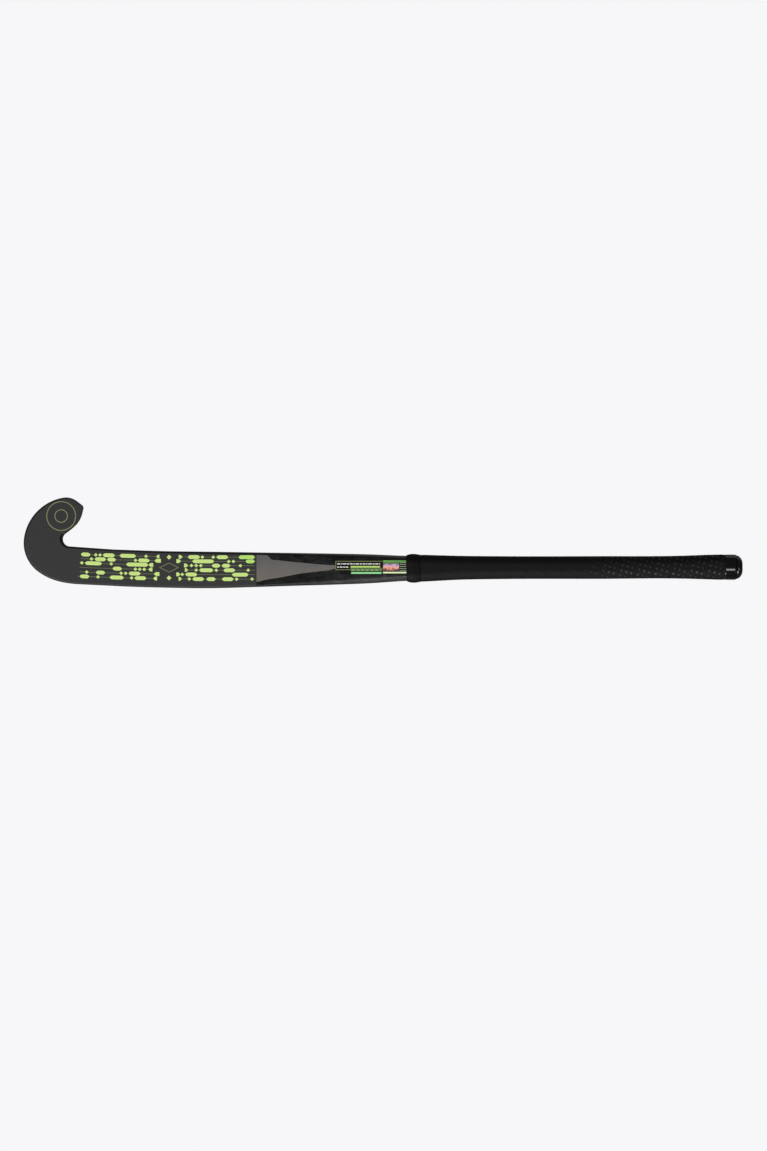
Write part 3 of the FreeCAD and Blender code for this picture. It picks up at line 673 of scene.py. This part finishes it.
def round_handle(x, share, offset, slant=0):
    """Points at a share of the way round the handle, from its face's middle by the toe side, offset outwards
    and set square to the leaning handle."""
    x, share, offset = np.broadcast_arrays(np.asarray(x, float), share, offset)
    toe, heel, thickness, face, back = section(x)
    quarter, side = math.pi / 2, thickness - face - back
    lengths = np.array([toe - face, quarter * face, side, quarter * back, toe + heel - 2 * back,
                        quarter * back, side, quarter * face, heel - face])
    ends = np.cumsum(lengths, axis=0)
    travelled = share * ends[-1]
    part = np.minimum((travelled[None] > ends).sum(axis=0), len(lengths) - 1)
    run = travelled - np.take_along_axis(ends - lengths, part[None], axis=0)[0]
    over_face, over_back = run / face, run / back
    zero, one = np.zeros_like(run), np.ones_like(run)
    out_y = np.choose(part, (zero, np.sin(over_face), one, np.cos(over_back), zero, -np.sin(over_back), -one,
                             -np.cos(over_face), zero))
    out_z = np.choose(part, (one, np.cos(over_face), zero, -np.sin(over_back), -one, -np.cos(over_back),
                             zero, np.sin(over_face), one))
    y = np.choose(part, (run, toe - face + face * out_y, toe, toe - back + back * out_y, toe - back - run,
                         back - heel + back * out_y, -heel, face - heel + face * out_y, run - heel + face))
    z = np.choose(part, (zero, face * out_z - face, -face - run, back - thickness + back * out_z, -thickness,
                         back - thickness + back * out_z, run + back - thickness, face * out_z - face, zero))
    y, z = y + out_y * offset, z + out_z * offset
    square = x - LEAN * (z + thickness / 2) - slant * y
    return np.stack((square, y, z + bow(square)), axis=-1), ends[-1]


def smoothstep(value):
    """A rise from 0 to 1 that starts and ends level."""
    value = np.clip(value, 0, 1)
    return value * value * (3 - 2 * value)


def tape_thickness(across):
    """The tape thins towards both of its edges."""
    edge = np.minimum(across, TAPE_REACH - across)
    return np.where(edge < 0, 0, TAPE_EDGE + (TAPE_THICKNESS - TAPE_EDGE) * smoothstep(edge / TAPE_SKIVE))


def wound_tape():
    """One strip of tape wound up the handle, each turn lapped over the edge of the turn above it."""
    turns = (GRIP_END - GRIP_START + TAPE_REACH - 2 * TAPE_END) / PITCH
    rows = int(turns * ROWS_PER_TURN)
    turn = np.arange(rows) / ROWS_PER_TURN
    head_edge = GRIP_START - TAPE_REACH + TAPE_END + PITCH * turn
    low = np.maximum(GRIP_START - head_edge, 0)
    high = np.minimum(GRIP_END - head_edge, TAPE_REACH)
    across = low[:, None] + (high - low)[:, None] * np.linspace(0, 1, COLUMNS)
    x = head_edge[:, None] + across
    bottom = UNDERLAY + tape_thickness(across + PITCH)
    top = bottom + tape_thickness(across)
    _, perimeter = round_handle(head_edge + TAPE_REACH / 2, 0, 0)
    once_round = np.hypot(perimeter + 2 * math.pi * (UNDERLAY + TAPE_THICKNESS / 2), PITCH)
    travelled = np.cumsum(once_round) / ROWS_PER_TURN
    lean = math.atan2(PITCH, float(perimeter.mean()))
    along, flat_across = travelled[:, None] + across * math.sin(lean), across * math.cos(lean)
    to_dot = np.hypot(along - DOT_PITCH * np.round(along / DOT_PITCH),
                      np.abs(flat_across[..., None] - np.array(DOT_ACROSS)).min(axis=-1))
    top = top - DIMPLE_DEPTH * np.exp(-(to_dot / DIMPLE_WIDTH) ** 2)
    from_bands = np.clip(np.minimum(x - RIM_END, GRIP_END - COLLAR_PRESS - x), 0, None)
    top = np.minimum(top, UNDERLAY + TAPE_UNDER_BANDS + from_bands * PRESS_SLOPE)
    bottom = np.minimum(bottom, top - LEAST_TAPE)
    rings = np.concatenate((top, bottom[:, ::-1]), axis=1)
    x_rings = np.concatenate((x, x[:, ::-1]), axis=1)
    points, _ = round_handle(x_rings, (turn % 1)[:, None], rings)
    places = np.stack([np.concatenate((value, value[:, ::-1]), axis=1) for value in (along, flat_across, x)],
                      axis=-1)
    piece = add_piece("wound_tape", points.reshape(-1, 3), tube_faces(rows, 2 * COLUMNS),
                      grip_black.material, "grip_tape", ["grip_tape"], smooth=True, tape=places)
    return piece, float(travelled[-1]) / 1000


def ring_band(profile, slant):
    """A slanted band round the handle: profile lists x and the offset from the shell, closed under it."""
    share = np.arange(BAND_SIDES + 1) / BAND_SIDES
    x, offset = np.array(profile, float).T
    points, _ = round_handle(x[None], share[:, None], offset[None], slant)
    return points.reshape(-1, 3), tube_faces(BAND_SIDES + 1, len(profile))[:-2]


tape, tape_length = wound_tape()
RIM = ((494, 0.05), (493.5, 0.3), (493.8, 0.75), (495.2, 1.4), (497.4, 2.1), (500, 2.65), (502.8, 2.85),
       (505.5, 2.75), (508, 2.45), (510.5, 2.1), (512, 1.85), (512.2, 1.6), (512.2, 0.7), (500, 0.05))
RIM_SLANT = 0.03
add_piece("grip_rim", *ring_band(RIM, RIM_SLANT), rubber.material, "end_band", ["grip_end_band"],
          smooth=True)

# ---------------------------------------------------------------- collar and cap

STICK_LENGTH, COLLAR_START, STEM_START = 923.1, 900.5, 890
END_GROWTH, BORE_INSET, STEM_INSET = 1.8, 1.75, 3.85     # how far they stand out, and insets from there
GROOVE = 0.6                            # the width and depth of the groove between collar and cap
START_EDGE, END_EDGE, CAP_EDGE = (0.5, 0.4), (0.3, 0.3), (0.3, 0.2)     # chamfers' lengths and depths
COLLAR_ROWS = 12
SECTION_POWER = 2.3                     # 2 is an ellipse, and more is squarer
SIDE_ROUND, FACE_ROUND = 11.6, 4        # the cap's end is rounded more at its sides than at its faces
DOME_START, DOME_ROWS = math.radians(35), 16


def end_rings(x, inset):
    """Rings of the rounded butt end at each x, each point inset towards the handle's middle line."""
    x, inset = np.broadcast_arrays(np.asarray(x, float), inset)
    toe, heel, thickness, _, _ = section(x)
    past = [np.maximum(size - (STICK_LENGTH - x), 0) for size in (SIDE_ROUND, FACE_ROUND)]
    half_y, half_z = (
        reach + END_GROWTH - inset - size + np.sqrt(size ** 2 - over ** 2)
        for reach, size, over in zip(((toe + heel) / 2, thickness / 2), (SIDE_ROUND, FACE_ROUND), past))
    turn = np.arange(BAND_SIDES + 1) * 2 * math.pi / BAND_SIDES
    out_y, out_z = (
        np.sign(way) * np.abs(way) ** (2 / SECTION_POWER) for way in (np.sin(turn), np.cos(turn)))
    y, z = half_y[:, None] * out_y + (toe - heel)[:, None] / 2, half_z[:, None] * out_z
    middle = bow(x) - thickness / 2
    return np.stack((x[:, None] - LEAN * z, y, middle[:, None] + z), axis=-1)


# The collar is a ring, closed over its bore; the cap has a neck in the groove between them, and a stem.
outside = np.linspace(COLLAR_START + START_EDGE[0], SHELL_END - END_EDGE[0], COLLAR_ROWS)
collar_x = np.concatenate(([COLLAR_START, COLLAR_START], outside, [SHELL_END, SHELL_END]))
collar_inset = np.concatenate(
    ([BORE_INSET, START_EDGE[1]], np.zeros(COLLAR_ROWS), [END_EDGE[1], BORE_INSET]))
loops = np.moveaxis(end_rings(collar_x, collar_inset), 0, 1)
add_piece("butt_collar", loops.reshape(-1, 3), tube_faces(*loops.shape[:2])[:-2],
          gloss_black.material, "gloss_black", ["grip_collar"], smooth=True)

cap_start = SHELL_END + GROOVE
dome = STICK_LENGTH - SIDE_ROUND * (1 - np.sin(np.linspace(DOME_START, math.pi / 2, DOME_ROWS)))
cap_x = np.concatenate(([STEM_START, SHELL_END, SHELL_END, cap_start, cap_start],
                        dome[dome > cap_start + CAP_EDGE[0]]))
first_insets = (STEM_INSET, STEM_INSET, GROOVE, GROOVE, CAP_EDGE[1])
cap_inset = np.concatenate((first_insets, np.zeros(len(cap_x) - len(first_insets))))
rings = end_rings(cap_x, cap_inset)
add_piece("end_cap", rings.reshape(-1, 3), tube_faces(*rings.shape[:2]), gloss_black.material, "gloss_black",
          ["butt_cap"], smooth=True)

# ---------------------------------------------------------------- parts under the skin and the grip

SHARP_ANGLE = math.radians(35)
for node, paint in (("head_core", foam), ("handle_foam", foam), ("toe_side_tube", tube_carbon),
                    ("heel_side_tube", tube_carbon), ("grip_underlay", cushion)):
    mesh = frame["nodes"][node].data
    mesh.materials.clear()
    mesh.materials.append(paint.material)
    mesh.polygons.foreach_set("use_smooth", [True] * len(mesh.polygons))
    mesh.set_sharp_from_angle(angle=SHARP_ANGLE)

# ---------------------------------------------------------------- lights

scene = bpy.context.scene
scene.view_settings.view_transform = "Standard"

BACKDROP, ROOM_LIGHT = srgb(247, 247, 249), 0.12        # what the camera sees, and how strongly it lights
world = bpy.data.worlds.new("studio")
scene.world = world
world.use_nodes = True
nodes, links = world.node_tree.nodes, world.node_tree.links
seen, lit = nodes["Background"], nodes.new("ShaderNodeBackground")
seen.inputs["Color"].default_value = BACKDROP
lit.inputs["Color"].default_value, lit.inputs["Strength"].default_value = grey(1), ROOM_LIGHT

path, mixer = nodes.new("ShaderNodeLightPath"), nodes.new("ShaderNodeMixShader")
links.new(path.outputs["Is Camera Ray"], mixer.inputs["Fac"])
links.new(lit.outputs["Background"], mixer.inputs[1])
links.new(seen.outputs["Background"], mixer.inputs[2])
links.new(mixer.outputs["Shader"], nodes["World Output"].inputs["Surface"])


def softbox(name, place, size, power, target=(0, 0, 0.02), spread=180):
    """A soft box with its power in watts, and the spread that its grid leaves in degrees."""
    light = bpy.data.lights.new(name, "AREA")
    light.shape, light.size, light.size_y, light.energy = "RECTANGLE", size[0], size[1], power
    light.spread = math.radians(spread)
    lamp = bpy.data.objects.new(name, light)
    lamp.location = place
    lamp.rotation_euler = (Vector(target) - Vector(place)).to_track_quat("-Z", "Y").to_euler()
    scene.collection.objects.link(lamp)


# The key is a gridded box over the butt end, so that the carbon doesn't mirror it, and a second one is aimed
# at the head.
softbox("key_softbox", (0.36, -0.75, 3), (0.4, 1.2), 0.11, target=(0.44, -0.03, 0.03), spread=16)
softbox("throat_softbox", (1, -1.3, 1.95), (1.3, 1.3), 0.2, target=(-0.41, 0, 0.04), spread=12)
softbox("heel_softbox", (-1.1, -2.4, 2.2), (1.5, 1.1), 134)
softbox("low_softbox", (-0.4, -1.5, 0.6), (1.2, 1.8), 4.2)
softbox("toe_softbox", (0.2, 2.4, -0.8), (4.5, 2), 12)

# ---------------------------------------------------------------- camera

AIM, CAMERA_DISTANCE = (0.0003, -0.0421, 0.035), 10
FRAME_HEIGHT = 1.4832               # metres at the aim's level that the picture's height spans
camera = bpy.data.objects.new("camera", bpy.data.cameras.new("camera"))
camera.data.sensor_fit = "AUTO"
camera.data.lens = camera.data.sensor_width * CAMERA_DISTANCE / FRAME_HEIGHT
camera.location = (*AIM[:2], AIM[2] + CAMERA_DISTANCE)
camera.data.clip_end = 50
scene.collection.objects.link(camera)
scene.camera = camera
